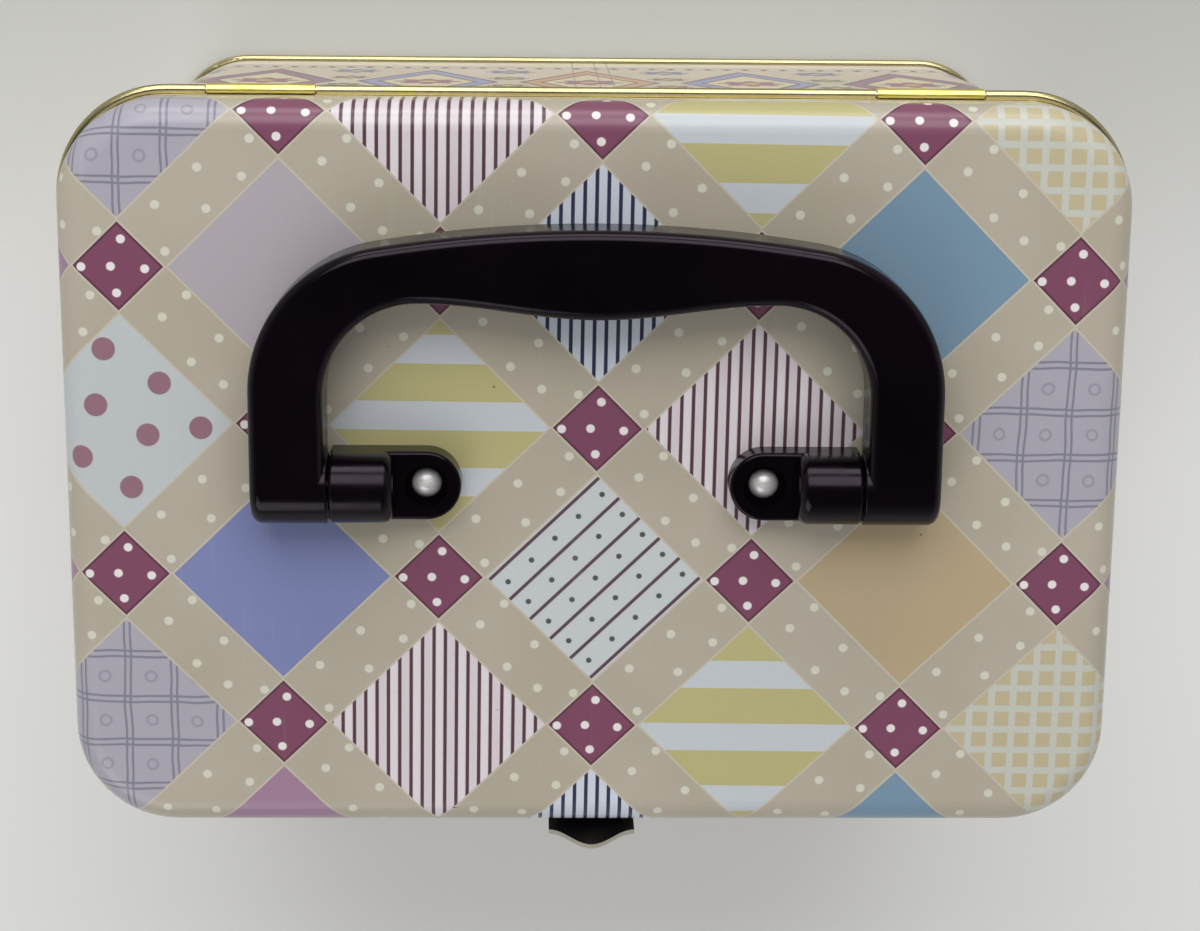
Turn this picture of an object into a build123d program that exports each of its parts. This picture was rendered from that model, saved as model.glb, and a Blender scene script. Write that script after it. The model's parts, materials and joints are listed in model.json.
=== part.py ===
from build123d import *
import math
import os

os.makedirs("parts", exist_ok=True)

# A rectangular sewing tin with a slip-over lid, hinged on a wire along its rear edge. A moulded
# handle swings on two brackets riveted through the lid, and a sprung clasp hinged on the front
# wall closes over the lid's curled edge.
# Millimetres. X runs along the tin, +Y points to the hinge, +Z goes up through the lid.

# Tinplate case
lid_length = 190.0
lid_width = 133.0
corner_radius = 18.5
tin_height = 142.0
sheet = 0.3
lid_skirt = 13.5  # lid face down to the middle of its curled edge
lid_edge_radius = 5.0
skirt_clearance = 1.35  # left between the front skirt and the wall as the lid swings
rim_gap = 0.5  # rim of the body up to the inside of the lid
rim_curl_radius = 0.8
seam_width = 7.5  # folded seam up the inside of the rear wall

# Foot seam, which joins the base panel to the wall
panel_recess = 1.6  # underside of the base panel above the surface that the tin stands on
foot_lip = 0.5  # the seam rises this far above the panel
foot_proud = 1.3
foot_inside = 0.6
foot_rounding = 0.9
fold_thickness = 0.7  # metal below the wall's lower edge

# Wire hinge
wire_radius = 0.65
wire_clearance = 0.05
wire_end = 2.0  # the wire stops short of the corner's curve by this much
knuckle_sheet = 0.5
knuckle_length = 19.2
knuckle_corner_gap = 7.2  # from the corner's curve to the knuckle
knuckle_end_gap = 0.3
knuckle_notch_gap = 0.35
leaf_length = 8.0

# Clasp
clasp_width = 16.0
clasp_sheet = 0.8
clasp_pin_radius = 0.6
clasp_pin_clearance = 0.05
clasp_pin_drop = 14.5  # middle of the lid's curl down to the clasp's pin
clasp_knuckle = 6.0
clasp_turn_gap = 0.25
clasp_jog_drop = 3.5  # underside of the lid's curl down to where the plate has stepped out
clasp_jog_height = 2.5
clasp_curl_gap = 0.15
clasp_lip_drop = 3.0  # lid face down to the clasp's upper edge
clasp_lip_height = 8.0
clasp_lip_proud = 3.0
clasp_rivet_spacing = 8.0
clasp_rivet_drop = 5.6  # below the pin
clasp_rivet_edge = 3.2  # rivet to the edges of the clasp's mount
clasp_rivet_radius = 1.0
clasp_rivet_head = 1.8
clasp_rivet_dome = 0.8
clasp_rivet_foot = 0.4

# Handle
handle_thickness = 12.6
handle_lid_gap = 0.4  # under the handle when it lies flat
pivot_offset = -0.5  # from the middle of the lid, towards the clasp
handle_reach = 46.4  # pivot to the rear of the grip
handle_half_width = 60.5
handle_leg = 13.0
handle_bend = 26.0  # outer radius of the shoulders
handle_inner_bend = 16.5
handle_rounding = 2.0
grip_slope = 9.6  # degrees that the crowned grip falls to at its shoulders
grip_width = 15.6  # at the middle
grip_neck = 12.9  # rear of the grip to the crest beside each shoulder
boss_proud = 0.4  # round boss on the inner side of each leg
boss_rounding = 0.3
peg_radius = 2.5
peg_clearance = 0.08
peg_end_gap = 0.3
handle_side_gap = 0.3  # between a boss and its bracket

# Handle brackets, their rivets and washers
bracket_half_width = 6.2
bracket_pad_height = 5.5
bracket_barrel_length = 11.2
bracket_end_wall = 2.1  # beyond the peg's hole
bracket_rivet_inset = 16.8  # outer end of the bracket to its rivet
bracket_floor = 2.5  # under the rivet's head
bracket_edge = 0.7
bracket_step_rounding = 2.0
rivet_shank_radius = 1.5
rivet_head_radius = 2.65
rivet_head_height = 1.9
rivet_hole_clearance = 0.1
counterbore_gap = 1.2  # round the rivet's head
washer_radius = 4.2
washer_thickness = 0.6
clinch_radius = 2.3
clinch_height = 0.7

# Clearances and cutters
seat_gap = 0.02  # between faces that rest on each other
curl_lap = 0.03  # a curl starts this far inside its own sheet
cutter = 12.0  # length of a tool that runs right through a sheet or a pad

# Places that follow from the sizes above
bead_z = tin_height - lid_skirt
curl_bore = wire_radius + wire_clearance
curl_radius = curl_bore + sheet
hinge_y = lid_width / 2 + curl_radius - sheet + curl_lap
curl_reach = hinge_y + curl_radius
skirt_swing = lid_width - math.sqrt(lid_width**2 - (lid_skirt + curl_radius) ** 2)
wall_inset = sheet + skirt_swing + skirt_clearance
wall_outer_y = lid_width / 2 - wall_inset
wall_inner_y = wall_outer_y - sheet
inner_edge = lid_edge_radius - sheet
edge_run = max(inner_edge - (wall_inset - sheet), 0)
edge_drop = inner_edge - math.sqrt(inner_edge**2 - edge_run**2)  # lid's rounding, over the wall
rim_z = tin_height - sheet - edge_drop - rim_gap - rim_curl_radius
foot_height = panel_recess + sheet + foot_lip
knuckle_radius = curl_bore + knuckle_sheet
knuckle_middle = lid_length / 2 - corner_radius - knuckle_corner_gap - knuckle_length / 2
clasp_bore = clasp_pin_radius + clasp_pin_clearance
clasp_barrel = clasp_bore + clasp_sheet
clasp_pin_y = -(wall_outer_y + seat_gap + clasp_barrel)
clasp_pin_z = bead_z - clasp_pin_drop
clasp_rivet_z = clasp_pin_z - clasp_rivet_drop
clasp_mount_width = clasp_rivet_spacing + 2 * clasp_rivet_edge
clasp_inner_y = -(curl_reach + clasp_curl_gap)
clasp_outer_y = clasp_inner_y - clasp_sheet
handle_half = handle_thickness / 2
pivot_z = tin_height + handle_lid_gap + handle_half
leg_inner_x = handle_half_width - handle_leg
boss_face_x = leg_inner_x - boss_proud
bracket_end = boss_face_x - handle_side_gap
bracket_base_z = tin_height + seat_gap
peg_hole_end = bracket_end - bracket_barrel_length + bracket_end_wall
rivet_x = bracket_end - bracket_rivet_inset
washer_z = tin_height - sheet - seat_gap

# The origin is under the middle of the whole footprint, clasp lip to hinge knuckles.
front_reach = -clasp_outer_y + clasp_lip_proud
rear_reach = hinge_y + knuckle_radius
footprint_shift = (front_reach - rear_reach) / 2


def outline(inset):
    """The tin's rounded outline, drawn in from the lid's by inset."""
    return RectangleRounded(lid_length - 2 * inset, lid_width - 2 * inset, corner_radius - inset)


def slab(inset, low, high):
    """A block with the tin's outline between two heights."""
    return Pos(0, 0, low) * extrude(outline(inset), high - low)


def tube_round(radius, inset, height):
    """A round bar bent along the tin's outline."""
    path = Pos(0, 0, height) * outline(inset).wires()[0]
    return sweep(Plane(origin=path @ 0, z_dir=path % 0) * Circle(radius), path=path)


def curl(inset, height, radius, bore):
    """A closed curl of sheet round the tin's outline."""
    return tube_round(radius, inset, height) - tube_round(bore, inset, height)


def top_rounded(block, radius):
    """The block with its upper edge rounded."""
    return fillet(block.faces().sort_by(Axis.Z)[-1].edges(), radius)


def post(radius, low, high, x=0.0, y=0.0):
    """An upright round bar between two heights."""
    upright = Cylinder(radius, high - low, align=(Align.CENTER, Align.CENTER, Align.MIN))
    return Pos(x, y, low) * upright


def bar_x(radius, low, high, y, z):
    """A round bar along X."""
    return Pos((low + high) / 2, y, z) * Rot(0, 90, 0) * Cylinder(radius, high - low)


def rectangle(y_low, y_high, z_low, z_high):
    """A rectangle between four limits, for a profile in Y and Z."""
    middle = Pos((y_low + y_high) / 2, (z_low + z_high) / 2)
    return middle * Rectangle(y_high - y_low, z_high - z_low)


def extrude_x(profile, low, high):
    """A profile drawn in Y and Z, extruded along X."""
    return Pos(low, 0, 0) * extrude(Plane.YZ * profile, high - low)


def dome(radius, height, low):
    """A shallow dome standing on a height."""
    ball_radius = (radius**2 + height**2) / (2 * height)
    ball = Pos(0, 0, low + height - ball_radius) * Sphere(ball_radius)
    return ball & post(radius, low, low + height)


def export(part, node):
    """Write one node, moved so that the origin is under the middle of the footprint."""
    placed = Pos(0, footprint_shift, 0) * part
    placed.label = node
    export_step(placed, "parts/" + node + ".step")
    print(node, "volume", round(placed.volume, 1))


# ---- body ----


def knuckle_span(side, gap):
    """The two ends in X of a hinge knuckle, grown by a gap."""
    middle = side * knuckle_middle
    half = knuckle_length / 2 + gap
    return middle - half, middle + half


def knuckle_leaf(gap):
    """The flat strip from a hinge knuckle through the wall, grown by a gap."""
    low = bead_z - knuckle_radius
    leaf_y = wall_inner_y - seat_gap - knuckle_sheet
    return rectangle(leaf_y, hinge_y, low - gap, low + knuckle_sheet + gap)


def clasp_rivet_holes():
    """Tools for the two holes through the clasp's mount and the front wall."""
    tool = Rot(90, 0, 0) * Cylinder(clasp_rivet_radius + seat_gap, cutter)
    return [Pos(side * clasp_rivet_spacing / 2, -wall_outer_y, clasp_rivet_z) * tool for side in (-1, 1)]


def body_shell():
    foot_z = fold_thickness + seat_gap
    wall = slab(wall_inset, foot_z, rim_z) - slab(wall_inset + sheet, foot_z, rim_z)
    wall += curl(wall_inset + rim_curl_radius + curl_lap, rim_z, rim_curl_radius, rim_curl_radius - sheet)
    seam = rectangle(wall_inner_y - sheet, wall_inner_y, foot_height, rim_z - 2 * rim_curl_radius)
    wall += extrude_x(seam, -seam_width / 2, seam_width / 2)
    for side in (-1, 1):
        wall -= extrude_x(knuckle_leaf(seat_gap), *knuckle_span(side, knuckle_end_gap))
    for hole in clasp_rivet_holes():
        wall -= hole
    return wall


def base_panel():
    seam = slab(wall_inset - foot_proud, 0, foot_height)
    seam = fillet(seam.edges().filter_by(Plane.XY), foot_rounding)
    inside = wall_inset + sheet + foot_inside
    seam -= slab(inside, 0, panel_recess)
    seam -= slab(inside, panel_recess + sheet, foot_height)
    groove = slab(wall_inset - seat_gap, fold_thickness, foot_height)
    groove -= slab(wall_inset + sheet + seat_gap, fold_thickness, foot_height)
    return seam - groove


def hinge_knuckle(side):
    barrel = Pos(hinge_y, bead_z) * Circle(knuckle_radius)
    leaf_outer = wall_inner_y - seat_gap
    leaf_top = bead_z - knuckle_radius + knuckle_sheet
    leaf = rectangle(leaf_outer - knuckle_sheet, leaf_outer, leaf_top - leaf_length, leaf_top)
    profile = barrel + knuckle_leaf(0) + leaf - Pos(hinge_y, bead_z) * Circle(curl_bore)
    return extrude_x(profile, *knuckle_span(side, 0))


# ---- lid ----


def lid_shell():
    shell = top_rounded(slab(0, bead_z, tin_height), lid_edge_radius)
    shell -= top_rounded(slab(sheet, bead_z, tin_height - sheet), inner_edge)
    shell += curl(lid_width / 2 - hinge_y, bead_z, curl_radius, curl_bore)
    notch_low = bead_z - knuckle_radius
    notch_high = bead_z + knuckle_radius + knuckle_notch_gap
    notch = rectangle(wall_outer_y + seat_gap, curl_reach + sheet, notch_low, notch_high)
    for side in (-1, 1):
        shell -= extrude_x(notch, *knuckle_span(side, knuckle_end_gap))
        hole_radius = rivet_shank_radius + rivet_hole_clearance
        shell -= post(hole_radius, tin_height - cutter, tin_height + sheet, side * rivet_x, pivot_offset)
    return shell


def hinge_wire():
    half = lid_length / 2 - corner_radius - wire_end
    return bar_x(wire_radius, -half, half, hinge_y, bead_z)


# ---- handle brackets ----


def handle_bracket(side):
    """A bracket, made for the +X side."""
    pad_top = bracket_base_z + bracket_pad_height
    y_low = pivot_offset - bracket_half_width
    y_high = pivot_offset + bracket_half_width
    pad = post(bracket_half_width, bracket_base_z, pad_top, rivet_x, pivot_offset)
    pad += extrude_x(rectangle(y_low, y_high, bracket_base_z, pad_top), rivet_x, bracket_end)
    pad = top_rounded(pad, bracket_edge)
    crown = Pos(pivot_offset, pivot_z) * Circle(bracket_half_width)
    crown &= rectangle(y_low, y_high, pivot_z, pivot_z + bracket_half_width)
    section = crown + rectangle(y_low, y_high, bracket_base_z, pivot_z)
    barrel = extrude_x(section, bracket_end - bracket_barrel_length, bracket_end)
    step = barrel.faces().sort_by(Axis.X)[0].edges().sort_by(Axis.Z)[1:]
    barrel = fillet(step, bracket_step_rounding)
    end = barrel.faces().sort_by(Axis.X)[-1].edges().sort_by(Axis.Z)[1:]
    barrel = fillet(end, bracket_edge)
    bracket = pad + barrel
    bracket -= bar_x(peg_radius + peg_clearance, peg_hole_end, bracket_end + cutter, pivot_offset, pivot_z)
    seat_z = bracket_base_z + bracket_floor
    counterbore = rivet_head_radius + counterbore_gap
    bracket -= post(counterbore, seat_z, pad_top + cutter, rivet_x, pivot_offset)
    hole_radius = rivet_shank_radius + rivet_hole_clearance
    bracket -= post(hole_radius, bracket_base_z - cutter, seat_z + sheet, rivet_x, pivot_offset)
    if side > 0:
        return bracket
    return mirror(bracket, Plane.YZ)


def bracket_rivet(side):
    head_z = bracket_base_z + bracket_floor + seat_gap
    clinch_z = washer_z - washer_thickness - seat_gap
    clinch = post(clinch_radius, clinch_z - clinch_height, clinch_z)
    clinch = fillet(clinch.edges().group_by(Axis.Z)[0], clinch_height / 2)
    rivet = clinch + post(rivet_shank_radius, clinch_z, head_z)
    rivet += dome(rivet_head_radius, rivet_head_height, head_z)
    return Pos(side * rivet_x, pivot_offset, 0) * rivet


def rivet_washer(side):
    washer = post(washer_radius, washer_z - washer_thickness, washer_z)
    washer -= post(rivet_shank_radius + rivet_hole_clearance, washer_z - cutter, washer_z + cutter)
    return Pos(side * rivet_x, pivot_offset, 0) * washer


# ---- handle ----


def handle_outline():
    """The handle seen from above, lying flat, with its pivot at Y = 0."""
    slope = math.radians(grip_slope)
    bend_x = handle_half_width - handle_bend
    shoulder_x = bend_x + handle_bend * math.sin(slope)
    shoulder_y = handle_reach - shoulder_x * math.tan(slope / 2)
    bend_y = shoulder_y - handle_bend * math.cos(slope)
    crest_x = leg_inner_x - handle_inner_bend
    crest_y = handle_reach - grip_neck
    inner_bend_y = crest_y - handle_inner_bend
    swell_y = handle_reach - grip_width
    flank = (crest_x / 2, (crest_y + swell_y) / 2)
    swell = [(crest_x, crest_y), flank, (0, swell_y), (-flank[0], flank[1]), (-crest_x, crest_y)]
    edges = [
        ThreePointArc((shoulder_x, shoulder_y), (0, handle_reach), (-shoulder_x, shoulder_y)),
        Spline(swell, tangents=((-1, 0), (-1, 0))),
    ]
    leg = [
        Line((leg_inner_x, -handle_half), (handle_half_width, -handle_half)),
        Line((handle_half_width, -handle_half), (handle_half_width, bend_y)),
        CenterArc((bend_x, bend_y), handle_bend, 0, 90 - grip_slope),
        Line((leg_inner_x, -handle_half), (leg_inner_x, inner_bend_y)),
        CenterArc((crest_x, inner_bend_y), handle_inner_bend, 0, 90),
    ]
    edges += leg
    edges += [mirror(edge, Plane.YZ) for edge in leg]
    return make_face(edges)


def handle():
    bow = Pos(0, 0, -handle_half) * extrude(handle_outline(), handle_thickness)
    side_view = Circle(handle_half) + rectangle(0, handle_reach + cutter, -handle_half, handle_half)
    bow &= extrude_x(side_view, -handle_half_width - cutter, handle_half_width + cutter)
    flat_faces = bow.faces().filter_by(Axis.Z)
    bow = fillet([edge for face in flat_faces for edge in face.edges()], handle_rounding)
    boss = bar_x(handle_half, boss_face_x, leg_inner_x + 2 * handle_rounding, 0, 0)
    boss = fillet(boss.faces().sort_by(Axis.X)[0].edges(), boss_rounding)
    boss += bar_x(peg_radius, peg_hole_end + peg_end_gap, leg_inner_x, 0, 0)
    bow += boss
    bow += mirror(boss, Plane.YZ)
    return Pos(0, pivot_offset, pivot_z) * bow


# ---- clasp ----


def clasp_rivets():
    inside = wall_inner_y - seat_gap
    outside = wall_outer_y + 2 * seat_gap + clasp_sheet
    rivet = post(clasp_rivet_radius, inside, outside)
    rivet += post(clasp_rivet_head, inside - clasp_rivet_foot, inside)
    rivet += dome(clasp_rivet_head, clasp_rivet_dome, outside)
    rivet = Pos(0, 0, clasp_rivet_z) * Rot(90, 0, 0) * rivet
    return Compound(children=[Pos(side * clasp_rivet_spacing / 2, 0, 0) * rivet for side in (-1, 1)])


def clasp_mount():
    seat_y = -(wall_outer_y + seat_gap)
    low = clasp_rivet_z - clasp_rivet_edge
    half = clasp_mount_width / 2
    plate = extrude_x(rectangle(seat_y - clasp_sheet, seat_y, low, clasp_pin_z), -half, half)
    plate += bar_x(clasp_barrel, -half, half, clasp_pin_y, clasp_pin_z)
    plate -= bar_x(clasp_bore, -cutter, cutter, clasp_pin_y, clasp_pin_z)
    clear = clasp_barrel + clasp_turn_gap
    middle = rectangle(seat_y - cutter, seat_y + sheet, clasp_pin_z - clear, clasp_pin_z + clear)
    gap_half = clasp_knuckle / 2 + clasp_turn_gap
    plate -= extrude_x(middle, -gap_half, gap_half)
    for hole in clasp_rivet_holes():
        plate -= hole
    return plate


def clasp_pin():
    half = clasp_mount_width / 2
    return bar_x(clasp_pin_radius, -half, half, clasp_pin_y, clasp_pin_z)


def lip_section(height, bulge):
    """The clasp's section at a height, bowed outwards by the bulge at its middle."""
    steps = 6
    front = []
    back = []
    for step in range(steps + 1):
        share = step / steps
        bow = bulge * math.sin(math.pi * share) ** 2
        x = clasp_width * (share - 0.5)
        front.append((x, clasp_outer_y - bow, height))
        back.append((x, clasp_inner_y - bow, height))
    return make_face([Spline(front), Line(front[-1], back[-1]), Spline(back), Line(back[0], front[0])])


def clasp_plate():
    low_y = clasp_pin_y - clasp_bore
    jog_top = bead_z - curl_radius - clasp_jog_drop
    jog_low = jog_top - clasp_jog_height
    lip_top = tin_height - clasp_lip_drop
    lip_start = lip_top - clasp_lip_height
    profile = Polyline(
        (low_y, clasp_pin_z),
        (low_y, jog_low),
        (clasp_inner_y, jog_top),
        (clasp_inner_y, lip_start),
        (clasp_outer_y, lip_start),
        (clasp_outer_y, jog_top),
        (low_y - clasp_sheet, jog_low),
        (low_y - clasp_sheet, clasp_pin_z),
        close=True,
    )
    half = clasp_width / 2
    plate = extrude_x(make_face(profile), -half, half)
    shoulder = clasp_pin_z + clasp_barrel + clasp_turn_gap
    below = rectangle(clasp_pin_y - cutter, clasp_pin_y + cutter, clasp_pin_z - cutter, shoulder)
    plate -= extrude_x(below, clasp_knuckle / 2, half + cutter)
    plate -= extrude_x(below, -half - cutter, -clasp_knuckle / 2)
    plate += bar_x(clasp_barrel, -clasp_knuckle / 2, clasp_knuckle / 2, clasp_pin_y, clasp_pin_z)
    plate -= bar_x(clasp_bore, -cutter, cutter, clasp_pin_y, clasp_pin_z)
    lip_middle = lip_start + clasp_lip_height / 2
    lip = loft(
        [
            lip_section(lip_start, 0),
            lip_section(lip_middle, clasp_lip_proud / 4),
            lip_section(lip_top, clasp_lip_proud),
        ]
    )
    return plate + lip


# ---- every node ----

export(body_shell(), "body_shell")
export(base_panel(), "base_panel")
export(lid_shell(), "lid_shell")
export(hinge_wire(), "hinge_wire")
export(handle(), "handle")
export(clasp_mount(), "clasp_mount")
export(clasp_pin(), "clasp_pin")
export(clasp_rivets(), "clasp_rivets")
export(clasp_plate(), "clasp_plate")
for side, name in ((-1, "left"), (1, "right")):
    export(hinge_knuckle(side), "hinge_knuckle_" + name)
    export(handle_bracket(side), "handle_bracket_" + name)
    export(bracket_rivet(side), "bracket_rivet_" + name)
    export(rivet_washer(side), "rivet_washer_" + name)
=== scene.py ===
import bpy
import json
import math
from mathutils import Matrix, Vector


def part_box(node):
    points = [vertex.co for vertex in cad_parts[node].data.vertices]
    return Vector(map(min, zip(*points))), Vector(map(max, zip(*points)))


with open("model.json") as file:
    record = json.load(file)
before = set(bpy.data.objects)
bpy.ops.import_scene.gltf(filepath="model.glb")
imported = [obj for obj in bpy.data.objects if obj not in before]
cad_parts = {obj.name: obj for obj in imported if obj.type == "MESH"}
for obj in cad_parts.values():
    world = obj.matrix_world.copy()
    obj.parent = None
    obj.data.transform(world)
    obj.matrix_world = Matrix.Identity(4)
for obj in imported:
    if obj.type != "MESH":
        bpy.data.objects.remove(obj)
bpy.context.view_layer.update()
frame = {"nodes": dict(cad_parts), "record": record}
nodes = frame["nodes"]

# Sizes of the tin, in millimetres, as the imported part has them.
lid_length = 190.0
lid_width = 133.0
corner_radius = 18.5
lid_edge_radius = 5.0
tin_height = 142.0
bead_height = tin_height - 13.5  # middle of the lid's curled edge
bead_top = bead_height + 1.05
sheet = 0.3
wall_inset = 2.44  # the wall's outer face, in from the lid's
wall_rim = tin_height - 2.3  # upper edge of the wall's print
clasp_lip_start = tin_height - 11.0
seam_folds = (-3.0, 2.0, 4.8)  # where the fold lines of the rear seam lie along X
cream_edge = 1.6  # height of the plain cream line between the print and the bead
frieze_middle = 61.0
frieze_half = 41.0
lid_middle_y = (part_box("lid_shell")[0].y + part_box("lid_shell")[1].y) / 2 * 1000


# ---- helpers for materials ----


def ink(red, green, blue):
    """A colour written as 0 to 255, made linear for the shader."""
    linear = []
    for part in (red, green, blue):
        share = part / 255
        linear.append(share / 12.92 if share < 0.04045 else ((share + 0.055) / 1.055) ** 2.4)
    return (*linear, 1.0)


class Number:
    """A number that changes over a surface. Arithmetic on it adds Math nodes."""

    def __init__(self, recipe, socket):
        self.recipe = recipe
        self.socket = socket

    def math(self, operation, *others):
        values = {0: self}
        for place, other in enumerate(others, start=1):
            values[place] = other
        return Number(self.recipe, self.recipe.add("ShaderNodeMath", {"operation": operation}, values))

    def __add__(self, other):
        return self.math("ADD", other)

    __radd__ = __add__

    def __mul__(self, other):
        return self.math("MULTIPLY", other)

    __rmul__ = __mul__

    def __sub__(self, other):
        return self.math("SUBTRACT", other)

    def __rsub__(self, other):
        return self * -1 + other

    def __truediv__(self, other):
        return self.math("DIVIDE", other)

    def __abs__(self):
        return self.math("ABSOLUTE")

    def least(self, other):
        return self.math("MINIMUM", other)

    def most(self, other):
        return self.math("MAXIMUM", other)

    def nearest_whole(self):
        return self.math("ROUND")

    def whole(self):
        return self.math("FLOOR")

    def below(self, other):
        return self.math("LESS_THAN", other)

    def above(self, other):
        return self.math("GREATER_THAN", other)

    def same(self, other):
        return self.math("COMPARE", other, 0.4)

    def within(self, pitch, middle=0.0):
        """Distance to the nearest line of a row of lines, one of them at middle."""
        turns = (self - middle) / pitch
        return abs(turns - turns.nearest_whole()) * pitch

    def fade(self, low, high, start=0.0, end=1.0):
        """Runs smoothly from start at low to end at high."""
        settings = {"interpolation_type": "SMOOTHSTEP"}
        values = {"Value": self, "From Min": low, "From Max": high, "To Min": start, "To Max": end}
        return Number(self.recipe, self.recipe.add("ShaderNodeMapRange", settings, values))


class Recipe:
    """One material's nodes."""

    def __init__(self, name):
        self.material = bpy.data.materials.new(name)
        self.material.use_nodes = True
        self.tree = self.material.node_tree
        self.tree.nodes.clear()

    def add(self, kind, settings=None, values=None, output=0):
        """Adds a node: its settings first, then the values or links of its sockets."""
        node = self.tree.nodes.new(kind)
        for name, setting in (settings or {}).items():
            setattr(node, name, setting)
        for name, value in (values or {}).items():
            self.feed(node.inputs[name], value)
        return node.outputs[output]

    def feed(self, socket, value):
        if isinstance(value, Number):
            value = value.socket
        if isinstance(value, bpy.types.NodeSocket):
            self.tree.links.new(value, socket)
        else:
            socket.default_value = value

    def place(self):
        """The point on the piece, in millimetres."""
        point = self.add("ShaderNodeTexCoord", output="Object")
        return self.add("ShaderNodeVectorMath", {"operation": "SCALE"}, {0: point, "Scale": 1000.0})

    def split(self, vector):
        node = self.tree.nodes.new("ShaderNodeSeparateXYZ")
        self.tree.links.new(vector, node.inputs[0])
        return [Number(self, socket) for socket in node.outputs]

    def join(self, x, y, z=0.0):
        return self.add("ShaderNodeCombineXYZ", None, {0: x, 1: y, 2: z})

    def mix(self, share, first, second):
        """Colour that goes from first to second as share goes from 0 to 1."""
        values = {0: share, 6: first, 7: second}
        return self.add("ShaderNodeMix", {"data_type": "RGBA"}, values, output=2)

    def noise(self, vector, size, detail=2.0, roughness=0.5):
        """Soft noise from 0 to 1 whose lumps are about size millimetres across."""
        values = {"Vector": vector, "Scale": 1 / size, "Detail": detail, "Roughness": roughness}
        return Number(self, self.add("ShaderNodeTexNoise", None, values))

    def from_dots(self, x, y, places):
        """Distance to the nearest of a few dots."""
        point = self.join(x, y)
        nearest = None
        for dot in places:
            values = {0: point, 1: (*dot, 0.0)}
            socket = self.add("ShaderNodeVectorMath", {"operation": "DISTANCE"}, values, output="Value")
            away = Number(self, socket)
            nearest = away if nearest is None else nearest.least(away)
        return nearest

    def bump(self, height, depth, before=None):
        """Surface relief from a height of 0 to 1, depth in millimetres."""
        values = {"Height": height, "Distance": depth / 1000, "Strength": 1.0}
        if before is not None:
            values["Normal"] = before
        return self.add("ShaderNodeBump", None, values)

    def finish(self, **values):
        """The surface itself. Names are the shader's sockets with underscores for spaces."""
        shader = {name.replace("_", " "): value for name, value in values.items()}
        surface = self.add("ShaderNodeBsdfPrincipled", None, shader)
        output = self.tree.nodes.new("ShaderNodeOutputMaterial")
        self.tree.links.new(surface, output.inputs["Surface"])
        return self.material


def outline_distance(x, y, length, width, radius):
    """Distance out from a rounded rectangle, negative inside it."""
    beyond_x = abs(x) - (length / 2 - radius)
    beyond_y = abs(y) - (width / 2 - radius)
    corner = (beyond_x.most(0) * beyond_x.most(0) + beyond_y.most(0) * beyond_y.most(0)).math("SQRT")
    return corner + beyond_x.most(beyond_y).least(0) - radius


def scratches(recipe, point, size, turn):
    """Fine straight marks: noise drawn out along one direction."""
    rotation = (0.0, 0.0, math.radians(turn))
    stretch = {"Vector": point, "Rotation": rotation, "Scale": (1.0, 0.04, 1.0)}
    marks = recipe.add("ShaderNodeMapping", None, stretch)
    return recipe.noise(marks, size, detail=3.0).fade(0.62, 0.72)


# ---- lid print: a patchwork on point, with sashing and cornerstones ----

quilt_pitch = 28.17  # from a cornerstone to the patch beside it
quilt_row_pitch = 27.84
quilt_turn = 0.56  # degrees clockwise that the print sits askew on the lid
quilt_side = quilt_pitch * math.sqrt(2)
patch_half = 0.345 * quilt_side
cornerstone_half = 0.1415 * quilt_side
outline_width = 0.35
cornerstone_dots = [(0.6, -4.85), (-6.4, 0.2), (-1.25, 0.05), (4.7, 0.4), (-0.3, 4.8)]
falling_sash_dots = [(-8.2, -1.0), (-8.0, 4.9), (1.0, -3.2), (1.4, 3.4), (7.8, -2.1), (13.1, 1.9)]
rising_sash_dots = [(2.6, -2.6), (7.0, 3.9), (-7.4, -3.1), (-1.5, 3.6), (-12.1, 3.9), (12.7, 0.2)]
polka_dots = [(-2.9, -13.1), (6.8, -7.1), (-4.5, -3.0), (4.6, 2.3), (14.0, 0.9), (-7.3, 6.5), (1.5, 11.9)]

# Patches by column, and by row counted from the hinge and repeating after four.
quilt = {
    "lilac": [(1, 0)],
    "blue": [(5, 0)],
    "periwinkle": [(1, 2)],
    "peach": [(5, 2)],
    "navy stripes": [(3, 0)],
    "burgundy stripes": [(4, 1), (2, 3)],
    "yellow stripes": [(2, 1), (4, 3)],
    "windowpane": [(0, 3), (6, 1)],
    "gingham": [(6, 3)],
    "polka": [(0, 1)],
    "diagonal": [(3, 2)],
}
plain_inks = {
    "lilac": ink(174, 167, 175),
    "blue": ink(119, 148, 170),
    "periwinkle": ink(125, 133, 180),
    "peach": ink(184, 165, 132),
    "navy stripes": ink(205, 211, 222),
    "burgundy stripes": ink(216, 206, 212),
    "yellow stripes": ink(196, 201, 206),
    "windowpane": ink(172, 168, 180),
    "gingham": ink(192, 180, 146),
    "polka": ink(190, 195, 197),
    "diagonal": ink(198, 203, 205),
}


def unrolled(recipe, x, y, z):
    """Where a point of the lid lay on the flat printed sheet, before the lid was drawn."""
    core_x = x.least(lid_length / 2 - corner_radius).most(corner_radius - lid_length / 2)
    core_y = y.least(lid_width / 2 - corner_radius).most(corner_radius - lid_width / 2)
    out_x = x - core_x
    out_y = y - core_y
    radius = (out_x * out_x + out_y * out_y).math("SQRT").most(0.001)
    flat_radius = corner_radius - lid_edge_radius
    above_bend = z - (tin_height - lid_edge_radius)
    angle = (radius - flat_radius).most(0).math("ARCTAN2", above_bend.most(0.001))
    drawn = radius.least(flat_radius) + angle * lid_edge_radius + (above_bend * -1).most(0)
    stretch = drawn / radius
    return core_x + out_x * stretch, core_y + out_y * stretch


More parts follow.
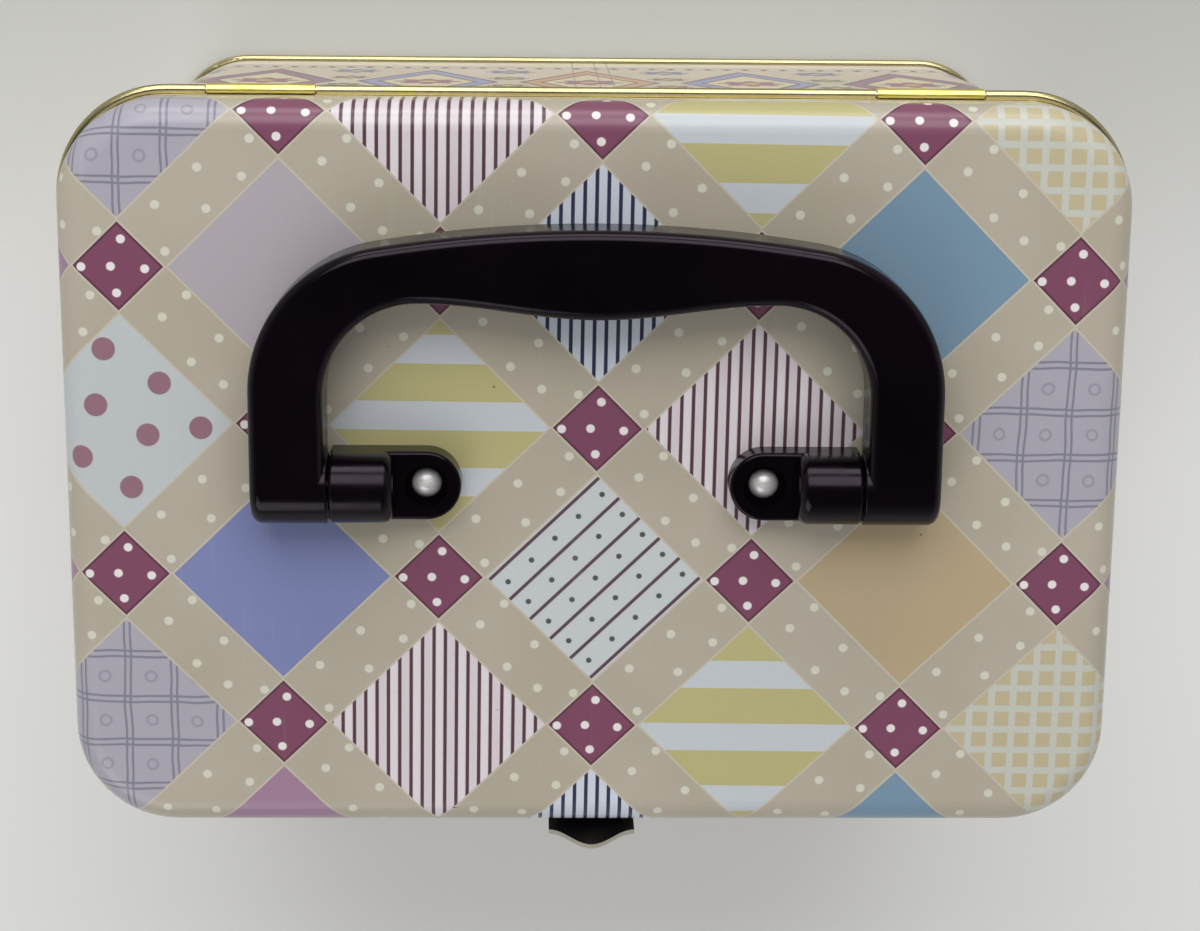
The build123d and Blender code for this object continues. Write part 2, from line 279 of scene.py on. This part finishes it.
def patchwork(recipe, flat_x, flat_y):
    """Colour of the printed patchwork at a point of the flat sheet."""
    cos, sin = math.cos(math.radians(quilt_turn)), math.sin(math.radians(quilt_turn))
    across = flat_x - 0.26
    down = flat_y * -1 + 0.55
    column = (across * cos + down * sin) / quilt_pitch + 3
    row = (down * cos - across * sin) / quilt_row_pitch + 1.3
    falling = (column + row - 1) * 0.5
    rising = (column - row + 1) * 0.5
    patch_falling = falling.nearest_whole()
    patch_rising = rising.nearest_whole()
    patch_column = patch_falling + patch_rising
    patch_row = patch_falling - patch_rising + 1
    repeat_row = patch_row.math("FLOORED_MODULO", 4)
    in_falling = (falling - patch_falling) * quilt_side
    in_rising = (rising - patch_rising) * quilt_side
    sash_falling = (falling - falling.whole() - 0.5) * quilt_side
    sash_rising = (rising - rising.whole() - 0.5) * quilt_side
    x = (column - patch_column) * quilt_pitch
    y = (row - patch_row) * quilt_row_pitch
    patch_reach = abs(in_falling).most(abs(in_rising))
    stone_reach = abs(sash_falling).most(abs(sash_rising))

    def chosen(name):
        """1 on the patches with this print."""
        share = None
        for patch_place in quilt[name]:
            here = patch_column.same(patch_place[0]) * repeat_row.same(patch_place[1])
            share = here if share is None else share + here
        return share

    # Plain grounds
    patch = ink(160, 126, 152)
    for name, colour in plain_inks.items():
        share = chosen(name)
        if name == "lilac":
            share = share * patch_row.below(2)
        patch = recipe.mix(share, patch, colour)

    # Stripes
    navy = x.within(2.09, -0.85).fade(0.28, 0.40, 1, 0)
    patch = recipe.mix(navy * chosen("navy stripes"), patch, ink(46, 48, 80))
    pinkish = x.within(4.14, 0.2).fade(0.4, 0.7, 0.6, 0)
    patch = recipe.mix(pinkish * chosen("burgundy stripes"), patch, ink(228, 222, 226))
    burgundy = x.within(2.07, -0.79).fade(0.26, 0.38, 1, 0)
    patch = recipe.mix(burgundy * chosen("burgundy stripes"), patch, ink(88, 58, 68))
    yellow_row = y + repeat_row.same(1) * 3.94
    yellow = yellow_row.within(12.05, 8.1).below(3.4)
    patch = recipe.mix(yellow * chosen("yellow stripes"), patch, ink(186, 179, 126))

    # Windowpane, drawn by hand in double lines with a ring in each pane
    wobble = recipe.noise(recipe.join(x, y), 9.0, detail=1.0) * 0.9 - 0.45
    pane_x = (x + wobble).within(8.35)
    pane_y = (y - wobble).within(8.4, 4.25)
    double = abs(pane_x - 0.55).least(abs(pane_y - 0.55)).fade(0.12, 0.30, 0.7, 0)
    pane_ring = (pane_x - 4.175) * (pane_x - 4.175) + (pane_y - 4.2) * (pane_y - 4.2)
    ring = abs(pane_ring.math("SQRT") - 0.95).fade(0.12, 0.34, 0.36, 0)
    patch = recipe.mix(double.most(ring) * chosen("windowpane"), patch, ink(108, 106, 124))

    # Gingham
    bars = x.within(3.96, 0.78).least(y.within(3.97)).fade(0.5, 0.75, 1, 0)
    patch = recipe.mix(bars * chosen("gingham"), patch, ink(197, 198, 188))

    # Polka dots
    polka = recipe.from_dots(x, y, polka_dots).fade(1.95, 2.2, 1, 0)
    patch = recipe.mix(polka * chosen("polka"), patch, ink(146, 108, 122))

    # Lines along the rising side, with small dots between them
    band = in_falling.within(5.25, 2.62).fade(0.25, 0.38, 1, 0)
    patch = recipe.mix(band * chosen("diagonal"), patch, ink(92, 68, 78))
    speck_x = in_falling.within(5.25)
    speck_y = in_rising.within(5.9, 0.2)
    speck = (speck_x * speck_x + speck_y * speck_y).math("SQRT").fade(0.42, 0.6, 1, 0)
    patch = recipe.mix(speck * chosen("diagonal"), patch, ink(82, 82, 88))

    # Sashing, its dots, and the pale outlines
    falling_dots = recipe.from_dots(in_falling, sash_rising, falling_sash_dots)
    rising_dots = recipe.from_dots(in_rising, sash_falling, rising_sash_dots)
    sash_dots = falling_dots.least(rising_dots).fade(0.65, 0.95, 0.9, 0)
    cloth = recipe.noise(recipe.join(flat_x, flat_y), 30.0).fade(0.3, 0.7)
    sash = recipe.mix(cloth, ink(177, 169, 151), ink(183, 174, 158))
    sash = recipe.mix(sash_dots, sash, ink(214, 213, 197))
    patch_outline = patch_reach.below(patch_half + outline_width)
    stone_outline = stone_reach.below(cornerstone_half + outline_width)
    sash = recipe.mix(patch_outline.most(stone_outline) * 0.6, sash, ink(205, 197, 178))
    colour = recipe.mix(patch_reach.below(patch_half), sash, patch)

    # Cornerstones
    stone = recipe.mix(stone_reach.above(cornerstone_half - 0.4), ink(126, 71, 97), ink(98, 52, 74))
    stone_x = (sash_falling + sash_rising) * (1 / math.sqrt(2))
    stone_y = (sash_falling - sash_rising) * (1 / math.sqrt(2))
    stone_dots = recipe.from_dots(stone_x, stone_y, cornerstone_dots).fade(0.65, 0.9, 1, 0)
    stone = recipe.mix(stone_dots, stone, ink(232, 226, 224))
    return recipe.mix(stone_reach.below(cornerstone_half), colour, stone)


# ---- materials ----


def gold_lacquer(recipe, point):
    """Colour and roughness of the transparent gold lacquer on bare tinplate."""
    cloud = recipe.noise(point, 14.0, detail=3.0).fade(0.3, 0.7)
    colour = recipe.mix(cloud, ink(192, 180, 132), ink(203, 192, 146))
    rub = recipe.noise(point, 1.6, detail=3.0).fade(0.6, 0.75)
    return recipe.mix(rub * 0.15, colour, ink(222, 216, 190)), cloud * 0.05 + rub * 0.03 + 0.22


def sheet_relief(recipe, point):
    """Slight waves of thin pressed sheet, and the lacquer's orange peel over them."""
    waves = recipe.bump(recipe.noise(point, 55.0, detail=1.0), 0.35)
    return recipe.bump(recipe.noise(point, 0.8, detail=1.0), 0.004, waves)


def printed_sheet(recipe, point, colour, printed):
    """Print under clear varnish where printed is 1, and gold lacquer elsewhere."""
    gold, gold_roughness = gold_lacquer(recipe, point)
    marks = scratches(recipe, point, 1.2, 35).most(scratches(recipe, point, 1.5, -50))
    marks = marks * recipe.noise(point, 40.0).fade(0.5, 0.7)
    grain = recipe.noise(point, 0.35, detail=1.0).fade(0.2, 0.8, 0.0, 0.06)
    colour = recipe.mix(grain, colour, ink(120, 116, 110))
    colour = recipe.mix(marks * 0.05, colour, ink(225, 222, 214))
    chips = recipe.noise(point, 2.4, detail=3.0).fade(0.775, 0.79)
    colour = recipe.mix(chips * 0.8, colour, ink(96, 84, 72))
    haze = recipe.noise(point, 22.0, detail=2.0)
    varnish_roughness = haze * 0.08 + marks * 0.05 + 0.26
    roughness = printed * varnish_roughness + (1 - printed) * gold_roughness
    return recipe.finish(
        Base_Color=recipe.mix(printed, gold, colour),
        Metallic=1 - printed,
        Roughness=roughness,
        Normal=sheet_relief(recipe, point),
    )


def lid_tin():
    recipe = Recipe("lid_tin")
    point = recipe.place()
    x, world_y, z = recipe.split(point)
    y = world_y - lid_middle_y
    flat_x, flat_y = unrolled(recipe, x, y, z)
    colour = patchwork(recipe, flat_x, flat_y)
    colour = recipe.mix(z.below(bead_top + cream_edge), colour, ink(216, 211, 196))

    # The print is on the outer face only: the distance in from the lid's outer skin tells.
    side = outline_distance(x, y, lid_length, lid_width, corner_radius) + lid_edge_radius
    upper = z - (tin_height - lid_edge_radius)
    bend = (side.most(0) * side.most(0) + upper.most(0) * upper.most(0)).math("SQRT")
    depth = lid_edge_radius - bend - side.most(upper).least(0)
    printed = depth.below(sheet / 2) * z.above(bead_top)
    return printed_sheet(recipe, point, colour, printed)


def flower(recipe, ground, x, y, size, petals):
    """A flower of eight petals and a yellow heart, size millimetres out to the mean of its edge."""
    away = (x * x + y * y).math("SQRT")
    waves = (y.math("ARCTAN2", x) * 8).math("COSINE")
    edge = away - waves * (size * 0.22)
    colour = recipe.mix(edge.below(size), ground, petals)
    colour = recipe.mix(abs(edge - size).below(0.3), colour, ink(84, 70, 76))
    return recipe.mix(away.below(size * 0.34), colour, ink(212, 186, 110))


def wall_tin():
    """Cream print with a plain border design, a generic one in the tin's colours."""
    recipe = Recipe("wall_tin")
    point = recipe.place()
    x, world_y, z = recipe.split(point)
    y = world_y - lid_middle_y
    core_length = lid_length / 2 - corner_radius
    core_width = lid_width / 2 - corner_radius
    out_x = (abs(x) - core_length).most(0)
    out_y = (abs(y) - core_width).most(0)
    bend = out_x.math("ARCTAN2", out_y.most(0.001)) * (corner_radius - wall_inset)
    round_tin = abs(x).least(core_length) + bend + (abs(y) * -1 + core_width).most(0)

    wash = recipe.noise(point, 35.0, detail=3.0).fade(0.3, 0.7)
    colour = recipe.mix(wash, ink(222, 212, 198), ink(229, 220, 204))

    # A frieze of diamonds on a darker band, with a flower in each, between two strings of pearls
    quarter_girth = core_length + core_width + math.pi / 2 * (corner_radius - wall_inset)
    repeat = quarter_girth / 4.5
    in_repeat = round_tin.within(repeat)
    middle = abs(z - frieze_middle)
    ground = recipe.mix(wash, ink(204, 190, 168), ink(214, 200, 180))
    colour = recipe.mix(middle.below(frieze_half), colour, ground)
    diamond = in_repeat / (repeat * 0.44) + middle / (frieze_half - 7.0)
    third = (round_tin / repeat).nearest_whole().math("FLOORED_MODULO", 3)
    fill = recipe.mix(third.same(1), ink(206, 158, 122), ink(148, 150, 190))
    fill = recipe.mix(third.same(2), fill, ink(150, 106, 128))
    fill = recipe.mix(diamond.below(0.68), fill, ink(220, 206, 168))
    fill = recipe.mix(abs(diamond - 0.68).below(0.03), fill, ink(92, 76, 84))
    fill = recipe.mix(abs(diamond - 0.965).below(0.035), fill, ink(92, 76, 84))
    colour = recipe.mix(diamond.below(1.0), colour, fill)
    colour = flower(recipe, colour, in_repeat, middle, 5.6, ink(150, 90, 116))
    colour = flower(recipe, colour, repeat / 2 - in_repeat, middle - 29.0, 4.4, ink(112, 122, 164))
    colour = flower(recipe, colour, repeat / 2 - in_repeat, middle - 10.0, 3.4, ink(122, 128, 104))
    string = abs(middle - frieze_half)
    colour = recipe.mix(string.below(2.3), colour, ink(88, 74, 78))
    pearl_along = round_tin.within(repeat / 8)
    pearl = (pearl_along * pearl_along + string * string).math("SQRT")
    colour = recipe.mix(pearl.fade(1.5, 1.8, 1, 0), colour, ink(222, 216, 204))
    rule = abs(middle - frieze_half - 5.0).below(0.5)
    colour = recipe.mix(rule, colour, ink(150, 106, 128))

    # Fold lines of the vertical seam at the rear
    rear = y.above(0)
    left_fold, middle_fold, right_fold = [abs(x - place) for place in seam_folds]
    seam = left_fold.least(middle_fold).least(right_fold).below(0.16) * rear
    colour = recipe.mix(seam * 0.7, colour, ink(132, 126, 120))
    outer = outline_distance(x, y, lid_length, lid_width, corner_radius) + wall_inset
    printed = outer.above(-sheet / 2) * z.below(wall_rim)
    return printed_sheet(recipe, point, colour, printed)


def base_tin():
    recipe = Recipe("base_tin")
    point = recipe.place()
    colour, roughness = gold_lacquer(recipe, point)
    x, y, z = recipe.split(point)
    scuffs = recipe.noise(point, 1.1, detail=4.0).fade(0.52, 0.7) * z.fade(0.5, 0.0)
    colour = recipe.mix(scuffs, colour, ink(168, 164, 156))
    return recipe.finish(
        Base_Color=colour,
        Metallic=1.0,
        Roughness=roughness + scuffs * 0.2,
        Normal=sheet_relief(recipe, point),
    )


def bare_metal(name, dark, light, roughness, grain_size, metallic=1.0):
    """Plain metal with a fine drawn grain along X and small rubbed patches."""
    recipe = Recipe(name)
    point = recipe.place()
    stretch = {"Vector": point, "Scale": (0.08, 1.0, 1.0)}
    grain = recipe.noise(recipe.add("ShaderNodeMapping", None, stretch), grain_size, detail=3.0)
    rub = recipe.noise(point, 2.2, detail=3.0).fade(0.45, 0.7)
    return recipe.finish(
        Base_Color=recipe.mix(grain.fade(0.35, 0.65), dark, light),
        Metallic=metallic,
        Roughness=rub * 0.12 + roughness,
        Normal=recipe.bump(grain, 0.006),
    )


def clasp_metal():
    """Plated steel, with painted shade in the pocket behind the lip and a painted highlight along the lip's
    upper edge.
    """
    recipe = Recipe("clasp_steel")
    point = recipe.place()
    x, y, z = recipe.split(point)
    facing_x, facing_y, facing_z = recipe.split(recipe.add("ShaderNodeTexCoord", output="Normal"))
    on_lip = z.above(clasp_lip_start)
    # Painted shade: the lip's inner face, turned back towards the lid, is darkened.
    pocket_shade = on_lip * facing_y.fade(0.0, 0.4)
    # Painted highlight: the lip's upward-facing edge is made paler and less metallic.
    edge = on_lip * facing_z.fade(0.75, 0.95)
    stretch = {"Vector": point, "Scale": (0.06, 1.0, 1.0)}
    grain = recipe.noise(recipe.add("ShaderNodeMapping", None, stretch), 0.25, detail=3.0)
    rub = recipe.noise(point, 3.5, detail=3.0).fade(0.45, 0.7)
    colour = recipe.mix(grain.fade(0.3, 0.7), ink(188, 183, 171), ink(204, 199, 187))
    # Painted shade in the pocket behind the lip.
    colour = recipe.mix(pocket_shade, colour, ink(52, 48, 45))
    # Painted highlight along the lip's upper edge.
    colour = recipe.mix(edge, colour, ink(196, 190, 176))
    return recipe.finish(
        Base_Color=colour,
        Metallic=1 - edge * 0.5,
        Roughness=rub * 0.1 + pocket_shade * 0.2 + edge * 0.1 + 0.26,
        Normal=recipe.bump(grain, 0.002),
    )


def handle_plastic():
    """Glossy moulded plastic, near black with a wine-red cast."""
    recipe = Recipe("handle_plastic")
    point = recipe.place()
    flow = recipe.noise(point, 24.0, detail=2.0).fade(0.35, 0.7)
    colour = recipe.mix(flow, ink(6, 3, 6), ink(11, 5, 11))
    smear = recipe.noise(point, 9.0, detail=4.0).fade(0.45, 0.75)
    marks = scratches(recipe, point, 0.9, 20) * 0.5
    return recipe.finish(
        Base_Color=colour,
        Roughness=smear * 0.08 + marks * 0.05 + 0.17,
        Specular_IOR_Level=0.24,
        Specular_Tint=(0.9, 0.74, 0.93, 1.0),
        Normal=recipe.bump(recipe.noise(point, 4.5, detail=2.0), 0.012),
    )


finishes = {
    "wall_tin": wall_tin(),
    "lid_tin": lid_tin(),
    "base_tin": base_tin(),
    "knuckle_brass": bare_metal("knuckle_brass", ink(236, 218, 112), ink(248, 236, 150), 0.32, 0.5),
    "clasp_steel": clasp_metal(),
    "rivet_steel": bare_metal("rivet_steel", ink(214, 211, 210), ink(236, 234, 233), 0.42, 0.4, 0.5),
    "wire_steel": bare_metal("wire_steel", ink(170, 168, 164), ink(196, 194, 190), 0.3, 0.4),
    "handle_plastic": handle_plastic(),
}
for part in frame["record"]["subparts"]:
    mesh = nodes[part["node"]].data
    mesh.materials.clear()
    mesh.materials.append(finishes[part["material_slot"]])


# ---- studio ----


def floor():
    """A wide pale floor that the tin stands on, with painted shade darkening it towards the rear."""
    mesh = bpy.data.meshes.new("floor")
    half = 3.0
    corners = [(-half, -half, 0), (half, -half, 0), (half, half, 0), (-half, half, 0)]
    mesh.from_pydata(corners, [], [(0, 1, 2, 3)])
    sheet_of_paper = bpy.data.objects.new("floor", mesh)
    bpy.context.scene.collection.objects.link(sheet_of_paper)
    recipe = Recipe("paper")
    point = recipe.place()
    x, y, z = recipe.split(point)
    # Painted shade: the floor darkens from pale in front to grey behind the tin.
    tone = y.fade(-80.0, 220.0)
    colour = recipe.mix(tone, ink(235, 235, 233), ink(157, 157, 149))
    mesh.materials.append(recipe.finish(Base_Color=colour, Roughness=0.9))


def world_light(level, horizon, overhead):
    """Even light from all round. Where it is seen or reflected, it is pale low down and darker overhead."""
    world = bpy.data.worlds.new("room")
    bpy.context.scene.world = world
    world.use_nodes = True
    tree = world.node_tree
    tree.nodes.clear()

    def node(kind, **inputs):
        made = tree.nodes.new(kind)
        for name, source in inputs.items():
            tree.links.new(source, made.inputs[name.replace("_", " ")])
        return made

    path = node("ShaderNodeLightPath")
    direct = path.outputs["Is Camera Ray"]
    for kind in ("Is Glossy Ray", "Is Transmission Ray"):
        either = tree.nodes.new("ShaderNodeMath")
        either.operation = "MAXIMUM"
        tree.links.new(direct, either.inputs[0])
        tree.links.new(path.outputs[kind], either.inputs[1])
        direct = either.outputs[0]
    direction = node("ShaderNodeTexCoord").outputs["Generated"]
    up = node("ShaderNodeSeparateXYZ", Vector=direction).outputs["Z"]
    tone = node("ShaderNodeMapRange", Value=up)
    tone.inputs["From Max"].default_value = 0.8
    tone.inputs["To Min"].default_value = horizon
    tone.inputs["To Max"].default_value = overhead
    lit = node("ShaderNodeBackground")
    lit.inputs["Strength"].default_value = level
    shown = node("ShaderNodeBackground", Strength=tone.outputs["Result"])
    choice = node("ShaderNodeMixShader")
    tree.links.new(direct, choice.inputs[0])
    tree.links.new(lit.outputs[0], choice.inputs[1])
    tree.links.new(shown.outputs[0], choice.inputs[2])
    node("ShaderNodeOutputWorld", Surface=choice.outputs[0])


def softbox(name, place, target, width, height, power):
    """A soft rectangular lamp."""
    light = bpy.data.lights.new(name, "AREA")
    light.shape = "RECTANGLE"
    light.size = width
    light.size_y = height
    light.energy = power
    lamp = bpy.data.objects.new(name, light)
    bpy.context.scene.collection.objects.link(lamp)
    lamp.location = place
    lamp.rotation_euler = (Vector(target) - Vector(place)).to_track_quat("-Z", "Y").to_euler()


def camera():
    """Looks down at the lid from above and a little beyond the hinge."""
    data = bpy.data.cameras.new("camera")
    data.sensor_width = 36.0
    data.lens = 73.39
    data.clip_start = 0.01
    eye = bpy.data.objects.new("camera", data)
    bpy.context.scene.collection.objects.link(eye)
    eye.location = (-0.0099, 0.1032, 0.5685)
    degrees = (-13.105, -1.318, 0.544)
    eye.rotation_euler = [math.radians(turn) for turn in degrees]
    bpy.context.scene.camera = eye


floor()
world_light(level=0.54, horizon=0.75, overhead=0.06)
softbox("rear_window", place=(0, 0.75, 1.0), target=(0, 0, 0.13), width=1.1, height=0.6, power=6.9)
softbox("front_fill", place=(-0.5, -0.9, 0.95), target=(0, 0, 0.1), width=0.9, height=0.7, power=3.8)
softbox("rear_low", place=(0, 1.1, 0.42), target=(0, 0, 0.06), width=1.0, height=0.4, power=4.5)
camera()

bpy.context.scene.view_settings.view_transform = "Standard"
